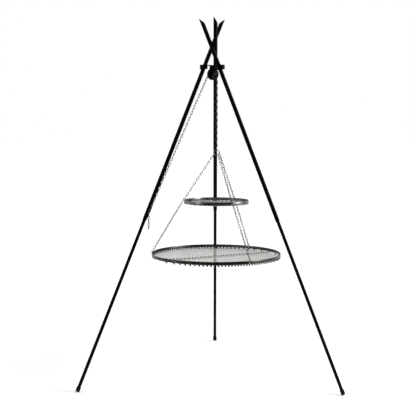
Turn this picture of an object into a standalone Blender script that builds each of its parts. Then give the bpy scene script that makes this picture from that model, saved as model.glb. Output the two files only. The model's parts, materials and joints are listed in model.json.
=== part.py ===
"""Tripod swing grill: three two-part legs cross above a head plate, and two round grates hang from a chain.

The chain runs over a pulley under the head plate and down to a hook on the left leg. Metres, +Z up, +Y away
from the viewer, origin on the ground in the middle of the space that the grill takes up.
"""

import math

import bmesh
import bpy
from mathutils import Matrix, Vector

# Tripod
CROSS_HEIGHT = 2.020
FOOT_RADIUS = 0.892
TIP_RISE = 0.176
JOINT_HEIGHT = 0.985
PLUG_DEPTH = 0.120
UPPER_TUBE_D = 0.025
LOWER_TUBE_D = 0.020
LOWER_TUBE_WALL = 0.0016
MITRE_ANGLE = math.radians(32)
# name, azimuth of the foot, azimuth that the tube's cut tip points to
LEGS = (("back", 90, 180), ("left", 210, 0), ("right", 330, 180))
BEAD_WIDTH = 0.006
BEAD_DEPTH = 0.0013
TUBE_SIDES = 20

# Foot caps
CAP_WALL = 0.0022
CAP_FLOOR = 0.005
CAP_LENGTH = 0.030
CAP_ROUNDING = 0.0016
CAP_FLAT_DEPTH = 0.0012

# Head
HEAD_DROP = 0.107
PLATE_THICKNESS = 0.004
PLATE_WAIST = 0.018
COLLAR_OUTER_R = 0.029
COLLAR_WALL = 0.004
COLLAR_HEIGHT = 0.022
COLLAR_HALF_SPAN = math.radians(100)
LEG_HOLE_CLEARANCE = 0.0006

# Pulley
PULLEY_CLEARANCE = 0.0007
CHEEK_R = 0.035
CHEEK_TOP_R = 0.0075
CHEEK_THICKNESS = 0.0025
CHEEK_SPACING = 0.0166
SHEAVE_WIDTH = 0.0150
SHEAVE_RIM_HEIGHT = 0.0045
SHEAVE_LIP = 0.0016
SHEAVE_CORNER = 0.0007
LUG_THICKNESS = 0.006
LUG_WIDTH = 0.018
AXLE_D = 0.008
HANGER_PIN_D = 0.006
BOLT_HEAD_ACROSS = 1.8
BOLT_HEAD_HEIGHT = 0.55

# Chain
LINK_PITCH = 0.019
LINK_WIDTH = 0.0125
LINK_WIRE = 0.0035
CHAIN_LINE_R = 0.028
CHAIN_PLAY = 0.0006
PULL_CHAIN_PLAY = 0.0025
PULL_CHAIN_LEAD = 0.038
TAIL_LENGTH = 0.095

# Hook for the chain on the left leg
HOOK_HEIGHT = 1.034
HOOK_WIRE = 0.006
HOOK_REACH = 0.018
HOOK_RISE = 0.032

# Grates
APEX_HEIGHT = 1.382
APEX_RING_D = 0.040
APEX_RING_WIRE = 0.005
APEX_RING_ANGLES = {"left": 30, "back": 12, "front": 56}
CHAIN_AZIMUTHS = (("left", 180), ("back", 57), ("front", -61))
GRATES = (("small_grate", 0.200, 1.090), ("big_grate", 0.400, 0.761))
GRATE_TURNS = {"small_grate": -1, "big_grate": 1}
RIM_WALL = 0.003
RIM_HEIGHT = 0.020
RIM_RING_D = 0.0195
RIM_RING_WIRE = 0.0035
RIM_HOLE_D = 0.007
RIM_HOLE_DROP = 0.007
RIM_STEPS = 72
ROD_PITCH = 0.0185
ROD_D = 0.004
ROD_AZIMUTH = math.radians(120)
ROD_SIDES = 8
BAR_WIDTH = 0.006
BAR_HEIGHTS = {"small_grate": 0.002, "big_grate": 0.008}
BAR_SLANT = 5.5
WELD_DEPTH = 0.0006

# Fits
GAP = 0.0003

# Values that follow from these
LEAN = math.atan2(FOOT_RADIUS, CROSS_HEIGHT)
UPPER_R = UPPER_TUBE_D / 2
LOWER_R = LOWER_TUBE_D / 2
LEG_OFFSET = (UPPER_TUBE_D + GAP) * math.sqrt(1 + 0.25 * math.tan(LEAN) ** 2) / math.sqrt(3)
HEAD_HEIGHT = CROSS_HEIGHT - HEAD_DROP
TIP_HEIGHT = CROSS_HEIGHT + TIP_RISE
PIVOT_HEIGHT = HEAD_HEIGHT - PLATE_THICKNESS / 2
PLATE_BOTTOM = HEAD_HEIGHT - PLATE_THICKNESS
COLLAR_MIDDLE = PLATE_BOTTOM - GAP - COLLAR_HEIGHT / 2
COLLAR_OFFSET = LEG_OFFSET / 2
CHAIN_REACH = (LINK_WIDTH - LINK_WIRE) / 2 * math.sqrt(0.5) + LINK_WIRE / 2
SHEAVE_GROOVE_R = CHAIN_LINE_R - CHAIN_REACH - GAP
SHEAVE_R = CHAIN_LINE_R + SHEAVE_RIM_HEIGHT
PIN_RISE = CHAIN_LINE_R + CHAIN_REACH + LUG_WIDTH / 2 + 3 * GAP
PULLEY_HEIGHT = PLATE_BOTTOM - PULLEY_CLEARANCE - CHEEK_TOP_R - PIN_RISE

MATERIALS = {
    "black_coat": ((0.012, 0.012, 0.013), 0.42, 0.0),
    "black_rubber": ((0.015, 0.015, 0.015), 0.85, 0.0),
    "black_bolt": ((0.02, 0.02, 0.022), 0.35, 0.6),
    "zinc_chain": ((0.62, 0.63, 0.65), 0.35, 1.0),
    "raw_steel": ((0.16, 0.155, 0.145), 0.4, 1.0),
    "rod_steel": ((0.42, 0.42, 0.41), 0.4, 1.0),
}

frames = {}
empties = {}


def clear_scene():
    for obj in list(bpy.data.objects):
        bpy.data.objects.remove(obj, do_unlink=True)


def material(name):
    """The named finish, made once."""
    made = bpy.data.materials.get(name)
    if made:
        return made
    color, roughness, metallic = MATERIALS[name]
    made = bpy.data.materials.new(name)
    made.use_nodes = True
    shader = made.node_tree.nodes["Principled BSDF"]
    shader.inputs["Base Color"].default_value = (*color, 1.0)
    shader.inputs["Roughness"].default_value = roughness
    shader.inputs["Metallic"].default_value = metallic
    return made


def add_frame(name, parent, matrix):
    """An empty at a joint or a body, placed in the tripod's own frame."""
    empty = bpy.data.objects.new(name, None)
    bpy.context.collection.objects.link(empty)
    if parent:
        empty.parent = empties[parent]
        empty.matrix_basis = frames[parent].inverted() @ matrix
    frames[name] = matrix
    empties[name] = empty


def place(obj, frame, matrix, finish):
    """Parents a piece to a frame, with its place given in the tripod's own frame."""
    obj.parent = empties[frame]
    obj.matrix_basis = frames[frame].inverted() @ matrix
    obj.data.materials.append(material(finish))
    return obj


def linked(name, data):
    obj = bpy.data.objects.new(name, data)
    bpy.context.collection.objects.link(obj)
    return obj


def mesh_object(name, bm, smooth=True):
    """Closes a bmesh into an object, with its faces pointing out."""
    bmesh.ops.recalc_face_normals(bm, faces=bm.faces)
    data = bpy.data.meshes.new(name)
    bm.to_mesh(data)
    bm.free()
    if smooth:
        data.shade_smooth()
        data.set_sharp_from_angle(angle=math.radians(35))
    return linked(name, data)


def bridge(bm, one, other):
    """Quads between two closed rings of as many vertices."""
    count = len(one)
    for i in range(count):
        j = (i + 1) % count
        bm.faces.new((one[i], one[j], other[j], other[i]))


def turned(name, profile, sides=TUBE_SIDES):
    """A closed outline of (radius, height) points turned once round local Z, with a bore through it."""
    bm = bmesh.new()
    rings = []
    for radius, height in profile:
        angles = [2 * math.pi * i / sides for i in range(sides)]
        rings.append([bm.verts.new((radius * math.cos(a), radius * math.sin(a), height)) for a in angles])
    for k, ring in enumerate(rings):
        bridge(bm, ring, rings[(k + 1) % len(rings)])
    return mesh_object(name, bm)


def turned_solid(name, profile, sides=TUBE_SIDES):
    """An outline of (radius, height) points from bottom to top turned round local Z, closed by flat ends."""
    bm = bmesh.new()
    rings = []
    for radius, height in profile:
        angles = [2 * math.pi * i / sides for i in range(sides)]
        rings.append([bm.verts.new((radius * math.cos(a), radius * math.sin(a), height)) for a in angles])
    for lower, upper in zip(rings, rings[1:]):
        bridge(bm, lower, upper)
    bm.faces.new(rings[0])
    bm.faces.new(rings[-1])
    return mesh_object(name, bm)


def torus(name, outer_d, wire, sides=24, wire_sides=8):
    """A ring of round wire about local Z."""
    middle = (outer_d - wire) / 2
    angles = [2 * math.pi * (i + 0.5) / wire_sides for i in range(wire_sides)]
    return turned(name, [(middle + wire / 2 * math.cos(a), wire / 2 * math.sin(a)) for a in angles], sides)


def arc(center, radius, start, end, steps):
    """Points on a circle from one angle to another, both included."""
    angles = [start + (end - start) * i / steps for i in range(steps + 1)]
    return [(center[0] + radius * math.cos(a), center[1] + radius * math.sin(a)) for a in angles]


def circle(center, radius, steps=20):
    return arc(center, radius, 0, 2 * math.pi * (steps - 1) / steps, steps - 1)


def plate(name, outline, thickness, holes=()):
    """A flat sheet in local XY, centred on its own middle plane, with its outline and holes as closed splines."""
    data = bpy.data.curves.new(name, "CURVE")
    data.dimensions = "2D"
    data.fill_mode = "BOTH"
    data.extrude = thickness / 2
    for points in (outline, *holes):
        spline = data.splines.new("POLY")
        spline.points.add(len(points) - 1)
        for point, (x, y) in zip(spline.points, points):
            point.co = (x, y, 0, 1)
        spline.use_cyclic_u = True
    return linked(name, data)


def polar(radius, angle):
    return (radius * math.cos(angle), radius * math.sin(angle))


def leg_point(azimuth, height, offset=LEG_OFFSET):
    """Where a leg's axis is at a height: it passes the tripod's axis to one side, so three legs can cross."""
    out = (CROSS_HEIGHT - height) * math.tan(LEAN)
    side, radial = Vector(polar(offset, azimuth - math.pi / 2)), Vector(polar(out, azimuth))
    return Vector((*(side + radial), height))


def leg_matrix(azimuth):
    """Local Z up along the leg, local X outward, local Y the axis that the leg folds about."""
    turn = Matrix.Rotation(azimuth, 4, "Z") @ Matrix.Rotation(-LEAN, 4, "Y")
    return Matrix.Translation(leg_point(azimuth, PIVOT_HEIGHT)) @ turn


def along_leg(height):
    """Local Z of a world height on a leg's axis."""
    return (height - PIVOT_HEIGHT) / math.cos(LEAN)


def upper_tube(name, azimuth, tip_azimuth):
    """The upper tube: a rolled bead stops the lower tube inside it, and its top is cut to a slanting tip."""
    bore_r = LOWER_R + GAP
    bottom = along_leg(JOINT_HEIGHT)
    bead = bottom + PLUG_DEPTH + GAP
    top = along_leg(TIP_HEIGHT)
    outside = [(UPPER_R, bottom), (UPPER_R, bead), (UPPER_R - BEAD_DEPTH, bead + BEAD_WIDTH / 2)]
    outside += [(UPPER_R, bead + BEAD_WIDTH), (UPPER_R, top)]
    inside = [(bore_r, top), (bore_r, bead + BEAD_WIDTH), (bore_r - BEAD_DEPTH, bead + BEAD_WIDTH / 2)]
    inside += [(bore_r, bead), (bore_r, bottom)]
    obj = turned(name, outside + inside)
    tip_direction = Matrix.Rotation(tip_azimuth - azimuth, 2, "Z") @ Vector((1, 0))
    for vertex in obj.data.vertices:
        if vertex.co.z > top - GAP:
            reach = vertex.co.xy.dot(tip_direction)
            vertex.co.z -= (UPPER_R - reach) / math.tan(MITRE_ANGLE)
    return obj


def foot_end():
    """Local Z of the cap's end face, so that its lowest edge is cut off flat on the ground."""
    flat_r = LOWER_R + GAP + CAP_WALL - CAP_ROUNDING
    return along_leg(flat_r * math.sin(LEAN) - CAP_FLAT_DEPTH)


def lower_tube(name):
    bottom = foot_end() + CAP_FLOOR + GAP
    top = along_leg(JOINT_HEIGHT) + PLUG_DEPTH
    bore_r = LOWER_R - LOWER_TUBE_WALL
    return turned(name, [(LOWER_R, bottom), (LOWER_R, top), (bore_r, top), (bore_r, bottom)])


def foot_cap(name, matrix):
    """A cup on the tube's end, cut flat where it meets the ground."""
    bore_r = LOWER_R + GAP
    outer_r = bore_r + CAP_WALL
    sides = TUBE_SIDES
    end = foot_end()
    outline = [(bore_r, end + CAP_FLOOR), (bore_r, end + CAP_LENGTH), (outer_r, end + CAP_LENGTH)]
    outline += [(outer_r, end + CAP_ROUNDING), (outer_r - CAP_ROUNDING, end)]
    bm = bmesh.new()
    rings = []
    for radius, height in outline:
        angles = [2 * math.pi * i / sides for i in range(sides)]
        rings.append([bm.verts.new((radius * math.cos(a), radius * math.sin(a), height)) for a in angles])
    for one, other in zip(rings, rings[1:]):
        bridge(bm, one, other)
    bm.faces.new(rings[0])
    bm.faces.new(rings[-1])
    ground = matrix.inverted()
    plane_co = ground @ Vector((matrix.translation.x, matrix.translation.y, 0))
    plane_no = ground.to_3x3() @ Vector((0, 0, 1))
    everything = bm.verts[:] + bm.edges[:] + bm.faces[:]
    cut = bmesh.ops.bisect_plane(bm, geom=everything, plane_co=plane_co, plane_no=plane_no, clear_inner=True)
    edges = [item for item in cut["geom_cut"] if isinstance(item, bmesh.types.BMEdge)]
    bmesh.ops.edgeloop_fill(bm, edges=edges)
    return mesh_object(name, bm)


def add_legs():
    for leg, azimuth, tip_azimuth in LEGS:
        azimuth, tip_azimuth = math.radians(azimuth), math.radians(tip_azimuth)
        matrix = leg_matrix(azimuth)
        add_frame(f"leg_{leg}_pivot", "tripod", matrix)
        add_frame(f"leg_{leg}_plug", f"leg_{leg}_pivot", matrix)
        place(upper_tube(f"leg_{leg}_upper", azimuth, tip_azimuth), f"leg_{leg}_pivot", matrix, "black_coat")
        place(lower_tube(f"leg_{leg}_lower"), f"leg_{leg}_plug", matrix, "black_coat")
        place(foot_cap(f"foot_cap_{leg}", matrix), f"leg_{leg}_plug", matrix, "black_rubber")


def collar_center(azimuth):
    return leg_point(azimuth, COLLAR_MIDDLE, COLLAR_OFFSET).xy


def head_outline():
    """Three round lobes, one at each leg, joined by hollow sides that are tangent to them."""
    reach = collar_center(math.radians(LEGS[0][1])).length
    lobe, waist = COLLAR_OUTER_R, PLATE_WAIST
    side_r = (reach**2 + waist**2 - reach * waist - lobe**2) / (2 * lobe + reach - 2 * waist)
    side_distance = waist + side_r
    points = []
    for _, azimuth, _ in LEGS:
        center = collar_center(math.radians(azimuth))
        lobe_angle = math.atan2(center.y, center.x)
        before = Vector(polar(side_distance, lobe_angle - math.pi / 3))
        after = Vector(polar(side_distance, lobe_angle + math.pi / 3))
        start, end = before - center, after - center
        first, last = math.atan2(start.y, start.x), math.atan2(end.y, end.x)
        points += arc(center, lobe, first, first + (last - first) % (2 * math.pi), 14)
        back = center - after
        first = math.atan2(back.y, back.x)
        swing = 2 * ((lobe_angle + math.pi / 3 + math.pi - first + math.pi) % (2 * math.pi) - math.pi)
        points += arc(after, side_r, first, first + swing, 8)[1:-1]
    return points


def collar(name, azimuth):
    """A half ring of flat strip that hangs under the plate's lobe and holds the leg in."""
    inner_r = COLLAR_OUTER_R - COLLAR_WALL
    start, end = azimuth - COLLAR_HALF_SPAN, azimuth + COLLAR_HALF_SPAN
    outline = arc((0, 0), COLLAR_OUTER_R, start, end, 14) + arc((0, 0), inner_r, end, start, 14)
    return plate(name, outline, COLLAR_HEIGHT)


def add_head():
    add_frame("head", "tripod", Matrix.Identity(4))
    hole_r = UPPER_R / math.cos(LEAN) + PLATE_THICKNESS / 2 * math.tan(LEAN) + LEG_HOLE_CLEARANCE
    holes = [circle(leg_point(math.radians(azimuth), PIVOT_HEIGHT).xy, hole_r) for _, azimuth, _ in LEGS]
    head = plate("head_plate", head_outline(), PLATE_THICKNESS, holes)
    place(head, "head", Matrix.Translation((0, 0, PIVOT_HEIGHT)), "black_coat")
    for leg, azimuth, _ in LEGS:
        azimuth = math.radians(azimuth)
        spot = Vector((*collar_center(azimuth), COLLAR_MIDDLE))
        place(collar(f"collar_{leg}", azimuth), "head", Matrix.Translation(spot), "black_coat")


def hook_spots():
    """Along the left leg, the hook's height. From the leg's axis, how far its prong and its chain are."""
    height = along_leg(HOOK_HEIGHT)
    prong = UPPER_R + GAP + HOOK_REACH
    chain = (prong - HOOK_WIRE / 2 + UPPER_R) / 2
    return height, prong, chain


def left_leg_matrix():
    return leg_matrix(math.radians(LEGS[1][1]))


def pull_chain_end():
    height, _, chain = hook_spots()
    return left_leg_matrix() @ Vector((0, chain, height + HOOK_WIRE / 2 + GAP))


def hang_azimuth():
    """The pulley faces the hook on the left leg, and the grates hang on its other side."""
    end = pull_chain_end()
    return math.atan2(end.y, end.x) + math.pi


def pulley_matrix():
    """Local X towards the side that the grates hang on, local Y up, local Z along the axle."""
    turn = Matrix.Rotation(hang_azimuth(), 4, "Z") @ Matrix.Rotation(math.pi / 2, 4, "X")
    return Matrix.Translation((0, 0, PULLEY_HEIGHT)) @ turn


def hang_point(height):
    return Vector((*polar(CHAIN_LINE_R, hang_azimuth()), height))


def pull_side_angle():
    """Angle on the sheave, from the hanging side, where the pulled chain leaves it straight for the hook."""
    end = pulley_matrix().inverted() @ pull_chain_end()
    return math.atan2(end.y, end.x) % (2 * math.pi) - math.acos(CHAIN_LINE_R / end.xy.length)


def sheave():
    """A wheel with a flat-bottomed groove that the chain lies in."""
    half = SHEAVE_WIDTH / 2
    mouth = half - SHEAVE_LIP
    floor = CHAIN_REACH + GAP
    corner = SHEAVE_CORNER
    groove = [(SHEAVE_R, -mouth), (SHEAVE_GROOVE_R + corner, -floor), (SHEAVE_GROOVE_R, corner - floor)]
    groove += [(radius, -height) for radius, height in reversed(groove)]
    bore_r = AXLE_D / 2 + GAP
    outline = [(bore_r, -half), (SHEAVE_R, -half), *groove, (SHEAVE_R, half), (bore_r, half)]
    return turned("sheave", outline, 32)


def cheek(name):
    """A drop-shaped side plate: a disc round the axle drawn up to the pin that it hangs on."""
    lean = math.asin((CHEEK_R - CHEEK_TOP_R) / PIN_RISE)
    outline = arc((0, 0), CHEEK_R, math.pi - lean, 2 * math.pi + lean, 24)
    outline += arc((0, PIN_RISE), CHEEK_TOP_R, lean, math.pi - lean, 8)
    holes = [circle((0, 0), AXLE_D / 2 + GAP, 16), circle((0, PIN_RISE), HANGER_PIN_D / 2 + GAP, 12)]
    return plate(name, outline, CHEEK_THICKNESS, holes)


def bolt(name, diameter, grip):
    """A hexagon-headed bolt along local Z whose grip is centred on the origin, with room for a nut."""
    end = grip / 2 + GAP
    head_r = diameter * BOLT_HEAD_ACROSS / math.sqrt(3)
    head_top = end + diameter * BOLT_HEAD_HEIGHT
    nut_end = end + diameter * (BOLT_HEAD_HEIGHT + 0.25)
    obj = turned_solid(name, [(diameter / 2, -nut_end), (diameter / 2, end)], 12)
    head = turned_solid(f"{name}_head_shape", [(head_r, end - GAP / 3), (head_r, head_top)], 6)
    return union_with(obj, [head])


def nut(name, diameter, grip):
    end = grip / 2 + GAP
    outer_r = diameter * BOLT_HEAD_ACROSS / math.sqrt(3)
    bore_r = diameter / 2 + GAP
    bottom, top = -(end + diameter * BOLT_HEAD_HEIGHT), -end
    bm = bmesh.new()
    rings = []
    for radius, height, sides in ((outer_r, bottom, 6), (outer_r, top, 6), (bore_r, top, 12), (bore_r, bottom, 12)):
        angles = [2 * math.pi * i / sides for i in range(sides)]
        rings.append([bm.verts.new((radius * math.cos(a), radius * math.sin(a), height)) for a in angles])
    bridge(bm, rings[0], rings[1])
    bridge(bm, rings[2], rings[3])
    for outer, inner in ((rings[1], rings[2]), (rings[0], rings[3])):
        for i in range(6):
            j = (i + 1) % 6
            bm.faces.new((outer[i], outer[j], inner[2 * i + 1]))
            bm.faces.new((outer[i], inner[2 * i], inner[2 * i + 1]))
            bm.faces.new((outer[j], inner[2 * i + 1], inner[(2 * i + 2) % 12]))
    return mesh_object(name, bm)


def union_with(obj, others):
    """Joins helper shapes into a piece. They stay in the file as hidden guides."""
    for other in others:
        guide(other, obj)
        modifier = obj.modifiers.new(other.name, "BOOLEAN")
        modifier.operation = "UNION"
        modifier.object = other
    return obj


def cut_from(obj, others):
    for other in others:
        guide(other, obj)
        modifier = obj.modifiers.new(other.name, "BOOLEAN")
        modifier.operation = "DIFFERENCE"
        modifier.object = other
    return obj


def guide(other, owner):
    other.parent = owner
    other.hide_render = True
    other.display_type = "WIRE"


def lug():
    """The tongue welded under the head plate, between the cheeks, that the pulley's pin goes through."""
    top = PLATE_BOTTOM - GAP - PULLEY_HEIGHT
    outline = [(LUG_WIDTH / 2, top), (-LUG_WIDTH / 2, top)]
    outline += arc((0, PIN_RISE), LUG_WIDTH / 2, math.pi, 2 * math.pi, 10)
    return plate("hanger_lug", outline, LUG_THICKNESS, [circle((0, PIN_RISE), HANGER_PIN_D / 2 + GAP, 12)])


def add_pulley():
    matrix = pulley_matrix()
    pin = matrix @ Matrix.Translation((0, PIN_RISE, 0))
    grip = CHEEK_SPACING + 2 * CHEEK_THICKNESS
    place(lug(), "head", matrix, "black_coat")
    for name, side in (("pulley_cheek_front", 1), ("pulley_cheek_back", -1)):
        offset = side * (CHEEK_SPACING + CHEEK_THICKNESS) / 2
        place(cheek(name), "head", matrix @ Matrix.Translation((0, 0, offset)), "black_coat")
    place(bolt("sheave_axle", AXLE_D, grip), "head", matrix, "black_bolt")
    place(nut("sheave_axle_nut", AXLE_D, grip), "head", matrix, "black_bolt")
    place(bolt("hanger_pin", HANGER_PIN_D, grip), "head", pin, "black_bolt")
    place(nut("hanger_pin_nut", HANGER_PIN_D, grip), "head", pin, "black_bolt")
    add_frame("sheave_axis", "head", matrix)
    place(sheave(), "sheave_axis", matrix, "black_bolt")


def link_sections(length):
    """Places along a chain and half sizes there, four to a link: each link is turned a quarter from the last."""
    count = max(1, round(length / LINK_PITCH))
    pitch = length / count
    wide, thin = LINK_WIDTH / 2, LINK_WIRE / 2
    sections = [(0.0, thin, thin)]
    for link in range(count):
        sizes = (wide, thin) if link % 2 else (thin, wide)
        for share in (0.2, 0.8):
            sections.append(((link + share) * pitch, *sizes))
    sections.append((length, thin, thin))
    return sections


def chain_shape(name, path, length):
    """A closed run of chain. path gives the point and the two cross directions at a distance along it."""
    bm = bmesh.new()
    rings = []
    for distance, half_a, half_b in link_sections(length):
        point, side_a, side_b = path(distance)
        corners = (side_a * half_a, side_b * half_b, side_a * -half_a, side_b * -half_b)
        rings.append([bm.verts.new(point + corner) for corner in corners])
    for one, other in zip(rings, rings[1:]):
        bridge(bm, one, other)
    bm.faces.new(rings[0])
    bm.faces.new(rings[-1])
    return mesh_object(name, bm, smooth=False)


def straight_chain(name, frame, start, end):
    """Chain from one point to another, with its links at 45 degrees either side of the run's own level line."""
    along = (end - start).normalized()
    level = along.cross(Vector((0, 0, 1)))
    if level.length < GAP:
        level = pulley_matrix().to_3x3() @ Vector((0, 0, 1))
    level.normalize()
    across = along.cross(level)
    side_a, side_b = (level + across).normalized(), (level - across).normalized()

    def path(distance):
        return along * distance, side_a, side_b

    shape = chain_shape(name, path, (end - start).length)
    return place(shape, frame, Matrix.Translation(start), "zinc_chain")


def chain_over_sheave():
    """The links in the sheave's groove, and the first ones that leave it straight for the hook."""
    axle = Vector((0, 0, 1))
    span = pull_side_angle()

    def path(distance):
        angle = min(distance / CHAIN_LINE_R, span)
        radial = Vector((*polar(1, angle), 0))
        past = Vector((*polar(distance - angle * CHAIN_LINE_R, angle + math.pi / 2), 0))
        return radial * CHAIN_LINE_R + past, (radial + axle).normalized(), (radial - axle).normalized()

    return chain_shape("chain_over_sheave", path, span * CHAIN_LINE_R + PULL_CHAIN_LEAD)


def add_lifting_chain():
    matrix = pulley_matrix()
    place(chain_over_sheave(), "head", matrix, "zinc_chain")
    leave = pull_side_angle()
    start = matrix @ Vector((*polar(CHAIN_LINE_R, leave), 0))
    end = pull_chain_end()
    start = start + (end - start).normalized() * (PULL_CHAIN_LEAD + PULL_CHAIN_PLAY)
    straight_chain("pull_chain", "leg_left_pivot", start, end)

    top = hang_point(PULLEY_HEIGHT - CHAIN_PLAY)
    link_end = hang_point(PULLEY_HEIGHT - CHAIN_PLAY - LINK_PITCH)
    ring_top = APEX_HEIGHT + APEX_RING_D / 2
    chain_end = hang_point(ring_top + 2 * CHAIN_PLAY + LINK_PITCH)
    add_frame("swing_side_pivot", "head", Matrix.Translation(hang_point(PULLEY_HEIGHT)))
    straight_chain("top_link", "swing_side_pivot", top, link_end)
    add_frame("swing_fore_pivot", "swing_side_pivot", Matrix.Translation(link_end))
    straight_chain("hoist_chain", "swing_fore_pivot", link_end - Vector((0, 0, CHAIN_PLAY)), chain_end)
    add_frame("lift", "swing_fore_pivot", Matrix.Translation(chain_end))
    last_top = hang_point(ring_top + CHAIN_PLAY + LINK_PITCH)
    straight_chain("end_link", "lift", last_top, hang_point(ring_top + CHAIN_PLAY))


def add_leg_hook():
    """A round-bar hook on the viewer's side of the left leg, and the chain's loose end under it."""
    height, prong, chain = hook_spots()
    bend = HOOK_WIRE
    points = [(UPPER_R + GAP, height), (prong - bend, height)]
    points += arc((prong - bend, height + bend), bend, -math.pi / 2, 0, 4)[1:]
    points.append((prong, height + HOOK_RISE))
    data = bpy.data.curves.new("chain_hook", "CURVE")
    data.dimensions = "3D"
    data.bevel_depth = HOOK_WIRE / 2
    data.bevel_resolution = 1
    data.use_fill_caps = True
    spline = data.splines.new("POLY")
    spline.points.add(len(points) - 1)
    for point, (y, z) in zip(spline.points, points):
        point.co = (0, y, z, 1)
    place(linked("chain_hook", data), "leg_left_pivot", left_leg_matrix(), "black_coat")
    start = left_leg_matrix() @ Vector((0, chain, height)) - Vector((0, 0, HOOK_WIRE / 2 + GAP))
    straight_chain("chain_tail", "leg_left_pivot", start, start - Vector((0, 0, TAIL_LENGTH)))


def ring_azimuth(grate, azimuth):
    """Where a chain meets a grate's rim: the grates hang a little turned."""
    return math.radians(azimuth + GRATE_TURNS[grate])


def rim_ring_center(azimuth, radius, top):
    """The ring's wire bears on the upper edge of its hole in the rim."""
    wire_height = top - RIM_HOLE_DROP + (RIM_HOLE_D - RIM_RING_WIRE) / 2 - GAP
    spot = hang_point(wire_height + (RIM_RING_D - RIM_RING_WIRE) / 2)
    return spot + Vector((*polar(radius - RIM_WALL / 2, azimuth), 0))


def add_rim(grate, radius, top):
    """A band of flat steel on edge, with a hole for each of the rings that it hangs on."""
    inner = radius - RIM_WALL
    bottom = top - RIM_HEIGHT
    rim = turned(f"{grate}_rim", [(radius, bottom), (radius, top), (inner, top), (inner, bottom)], RIM_STEPS)
    drills = []
    for side, azimuth in CHAIN_AZIMUTHS:
        azimuth = ring_azimuth(grate, azimuth)
        depth = 3 * RIM_WALL
        drill = turned_solid(f"{grate}_{side}_drill", [(RIM_HOLE_D / 2, -depth), (RIM_HOLE_D / 2, depth)], 12)
        spot = Vector((*polar(radius - RIM_WALL / 2, azimuth), top - RIM_HOLE_DROP))
        turn = Matrix.Rotation(azimuth, 4, "Z") @ Matrix.Rotation(math.pi / 2, 4, "Y")
        drill.matrix_basis = Matrix.Translation(spot) @ turn
        drills.append(drill)
    cut_from(rim, drills)
    place(rim, "grates", Matrix.Translation(hang_point(0)), "raw_steel")


def add_rim_rings(grate, radius, top):
    for side, azimuth in CHAIN_AZIMUTHS:
        azimuth = ring_azimuth(grate, azimuth)
        ring = torus(f"{grate}_ring_{side}", RIM_RING_D, RIM_RING_WIRE, 16, 6)
        turn = Matrix.Rotation(azimuth, 4, "Z") @ Matrix.Rotation(math.pi / 2, 4, "X")
        spot = Matrix.Translation(rim_ring_center(azimuth, radius, top))
        place(ring, "grates", spot @ turn, "zinc_chain")


def add_rods(grate, radius, top):
    """The rods that the food lies on, side by side under the rim, and the bar welded across under them."""
    reach = int((radius - ROD_D) / ROD_PITCH)
    middle = top - RIM_HEIGHT - GAP - ROD_D / 2
    corner = ROD_D / 2 / math.cos(math.pi / ROD_SIDES)
    section = [polar(corner, math.pi * (2 * i + 1) / ROD_SIDES) for i in range(ROD_SIDES)]
    bm = bmesh.new()
    for k in range(-reach, reach + 1):
        offset = k * ROD_PITCH
        half = math.sqrt(radius**2 - (abs(offset) + corner) ** 2)
        ends = [[bm.verts.new((x, offset + y, middle + z)) for y, z in section] for x in (-half, half)]
        for i in range(ROD_SIDES):
            j = (i + 1) % ROD_SIDES
            bm.faces.new((ends[0][i], ends[0][j], ends[1][j], ends[1][i]))
        bm.faces.new(ends[0])
        bm.faces.new(ends[1])
    rods = mesh_object(f"{grate}_rods", bm, smooth=False)
    under = middle - ROD_D / 2
    bar_top, bar_low = under + WELD_DEPTH, under - BAR_HEIGHTS[grate]
    length = reach * ROD_PITCH + ROD_D / 2
    slant = BAR_SLANT * BAR_HEIGHTS[grate]
    outline = [(-length, bar_top), (-length, under - WELD_DEPTH), (slant - length, bar_low)]
    outline += [(-y, z) for y, z in reversed(outline)]
    bm = bmesh.new()
    sides = [[bm.verts.new((x, y, z)) for y, z in outline] for x in (-BAR_WIDTH / 2, BAR_WIDTH / 2)]
    for i in range(len(outline)):
        j = (i + 1) % len(outline)
        bm.faces.new((sides[0][i], sides[0][j], sides[1][j], sides[1][i]))
    bm.faces.new(sides[0])
    bm.faces.new(sides[1])
    union_with(rods, [mesh_object(f"{grate}_bar", bm, smooth=False)])
    turn = Matrix.Rotation(ROD_AZIMUTH, 4, "Z")
    place(rods, "grates", Matrix.Translation(hang_point(0)) @ turn, "rod_steel")


def chain_between(name, start, end, start_clear, end_clear):
    along = (end - start).normalized()
    straight_chain(name, "grates", start + along * start_clear, end - along * end_clear)


def add_hanging_chains():
    """Three chains from the top ring to the small grate's rings, and on to the big grate's."""
    clear = RIM_RING_D / 2 + GAP
    center = hang_point(APEX_HEIGHT)
    middle = (APEX_RING_D - APEX_RING_WIRE) / 2
    beside = (APEX_RING_WIRE + LINK_WIRE) / 2 - GAP
    for side, azimuth in CHAIN_AZIMUTHS:
        left = side == "left"
        across = 0 if left else math.copysign(beside, azimuth)
        angle = math.radians(APEX_RING_ANGLES[side])
        out = middle * math.cos(angle) * (-1 if left else 1)
        start = center + Vector((out, across, -middle * math.sin(angle)))
        stops = [rim_ring_center(ring_azimuth(grate, azimuth), radius, top) for grate, radius, top in GRATES]
        start_clear = APEX_RING_WIRE / 2 + CHAIN_PLAY if left else 0
        chain_between(f"chain_{side}_upper", start, stops[0], start_clear, clear)
        chain_between(f"chain_{side}_lower", stops[0], stops[1], clear, clear)


def add_grates():
    add_frame("grates", "lift", Matrix.Translation(hang_point(APEX_HEIGHT)))
    ring = torus("top_ring", APEX_RING_D, APEX_RING_WIRE, 28, 8)
    upright = Matrix.Translation(hang_point(APEX_HEIGHT)) @ Matrix.Rotation(math.pi / 2, 4, "X")
    place(ring, "grates", upright, "zinc_chain")
    for grate, radius, top in GRATES:
        add_rim(grate, radius, top)
        add_rim_rings(grate, radius, top)
        add_rods(grate, radius, top)
    add_hanging_chains()


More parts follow.
